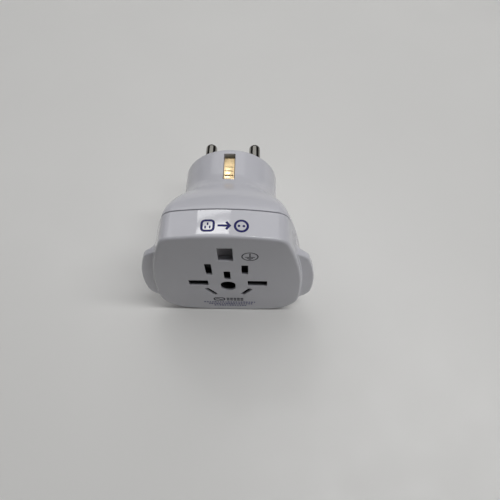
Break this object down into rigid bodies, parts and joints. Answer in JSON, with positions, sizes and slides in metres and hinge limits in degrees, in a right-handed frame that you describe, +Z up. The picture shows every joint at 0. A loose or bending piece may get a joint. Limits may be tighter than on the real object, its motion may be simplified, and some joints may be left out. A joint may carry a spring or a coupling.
{
  "type": "travel adapter",
  "caption": "Earthed travel adapter: a socket face for several plug types, a round two-pin plug with side earth clips behind.",
  "frame": {"origin": "centre of the plug's end face, between the two pins", "axes": "+Y along the pins, away from the socket face; +X to the right seen from the socket face; +Z up, towards the tall earth opening"},
  "size_m": [0.0652, 0.0648, 0.0603],
  "materials": {
    "shell": "gloss moulded white",
    "dark_plastic": "satin dark grey",
    "black_plastic": "matt black",
    "contact_brass": "stamped",
    "clip_brass": "polished, slightly tarnished",
    "nickel": "bright nickel plate",
    "steel": "zinc plated"
  },
  "bodies": {
    "housing": {"front_shell": "shell", "rear_shell": "shell", "shutter_frame": "black_plastic", "shutter_spring": "steel", "contact_carrier": "black_plastic", "carrier_cover": "black_plastic", "live_contact": "contact_brass", "neutral_contact": "contact_brass", "earth_contact": "contact_brass", "live_link": "contact_brass", "neutral_link": "contact_brass", "earth_link": "contact_brass", "earth_clip_top": "clip_brass", "earth_clip_bottom": "clip_brass", "live_pin": "nickel", "neutral_pin": "nickel", "pin_holder": "black_plastic", "pin_screws": "steel", "holder_screws": "steel", "carrier_screws": "steel", "case_screws": "steel", "clip_rivets": "contact_brass", "link_rivets": "contact_brass"},
    "shutter": {"shutter": "dark_plastic"}
  },
  "joints": [
    {"name": "shutter_slide", "type": "slide", "parent": "housing", "child": "shutter", "axis": [0, 0, -1], "range_m": [0, 0.006], "stiffness_N_per_m": 150, "springref_m": -0.002, "deforming": ["shutter_spring"]}
  ]
}
